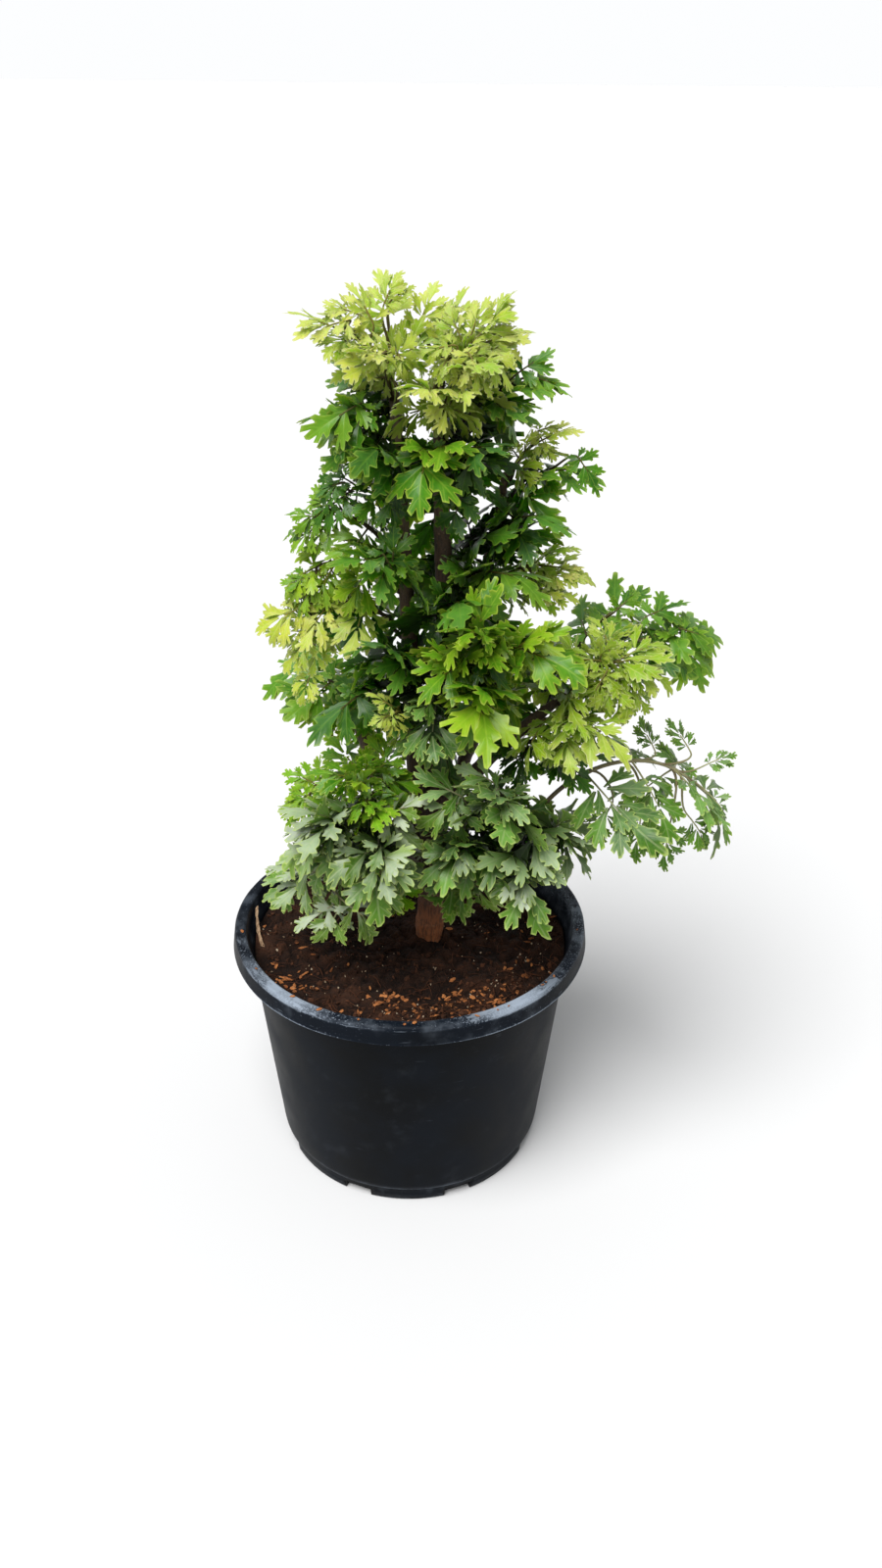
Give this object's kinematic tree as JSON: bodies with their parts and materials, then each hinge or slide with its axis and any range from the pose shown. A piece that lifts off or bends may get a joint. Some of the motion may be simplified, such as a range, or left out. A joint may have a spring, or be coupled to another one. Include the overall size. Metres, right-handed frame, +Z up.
{
  "type": "potted ming aralia",
  "caption": "Upright ming aralia with woody stems and finely cut compound leaves, lime at the top and grey-green low down, growing in soil in a round black nursery pot.",
  "frame": {"origin": "middle of the pot's flat base, on the surface it stands on", "axes": "+Z up the plant; -Y towards the front, the side the picture shows; +X to the right as seen from the front"},
  "size_m": [0.3495, 0.2551, 0.6196],
  "materials": {
    "pot_plastic": "moulded black polypropylene with a soft sheen, its rim scuffed and dusty",
    "soil": "dark moist potting mix with coir fibre and chips",
    "bark": "thin brown bark with pale pores and leaf scars",
    "leaf_lime": "glossy pale lime young leaf with cream edges",
    "leaf_bright": "glossy bright green leaf",
    "leaf_mid": "glossy mid green leaf",
    "leaf_deep": "glossy deep green leaf",
    "leaf_silver": "old grey-green leaf with a pale sheen"
  },
  "bodies": {
    "root": {"pot": "pot_plastic", "soil": "soil", "stems": "bark", "frond_crown_left": "leaf_lime", "frond_crown_up_left": "leaf_lime", "frond_crown_front_left": "leaf_lime", "frond_crown_up": "leaf_lime", "frond_crown_mid": "leaf_lime", "frond_crown_front_right": "leaf_lime", "frond_crown_right": "leaf_lime", "frond_crown_front": "leaf_lime", "frond_top_right": "leaf_mid", "frond_upper_back_left": "leaf_deep", "frond_upper_left": "leaf_mid", "frond_upper_front_left": "leaf_deep", "frond_curl_right": "leaf_lime", "frond_far_right": "leaf_mid", "frond_right_mid": "leaf_deep", "frond_centre_leaf": "leaf_bright", "frond_upper_front_right": "leaf_deep", "frond_upper_back_right": "leaf_deep", "frond_upper_back": "leaf_mid", "frond_left_curl": "leaf_deep", "frond_left_broad": "leaf_mid", "frond_left_reach": "leaf_mid", "frond_left_arch": "leaf_bright", "frond_left_lime": "leaf_lime", "frond_left_front": "leaf_deep", "frond_left_low": "leaf_deep", "frond_yellow_small": "leaf_lime", "frond_middle_right": "leaf_mid", "frond_middle_back_right": "leaf_deep", "frond_middle_front": "leaf_deep", "frond_teal": "leaf_silver", "frond_right_fine": "leaf_lime", "frond_bright_left": "leaf_bright", "frond_bright_down": "leaf_bright", "frond_bright_right": "leaf_bright", "frond_bright_up": "leaf_bright", "frond_lime_front": "leaf_lime", "frond_lime_right": "leaf_lime", "frond_right_end": "leaf_mid", "frond_right_top": "leaf_mid", "frond_right_under": "leaf_deep", "frond_long_arch": "leaf_silver", "frond_low_right": "leaf_silver", "frond_low_right_front": "leaf_silver", "frond_low_centre": "leaf_silver", "frond_low_right_up": "leaf_silver", "frond_low_left": "leaf_silver", "frond_low_left_front": "leaf_silver", "frond_low_left_up": "leaf_bright", "frond_soil_left": "leaf_silver", "frond_side_left": "leaf_bright", "frond_middle_back": "leaf_deep", "frond_middle_back_left": "leaf_mid", "frond_back_left_out": "leaf_mid", "frond_back_left_rear": "leaf_bright", "frond_back_right_rear": "leaf_mid", "frond_back_right_out": "leaf_bright"}
  },
  "joints": []
}
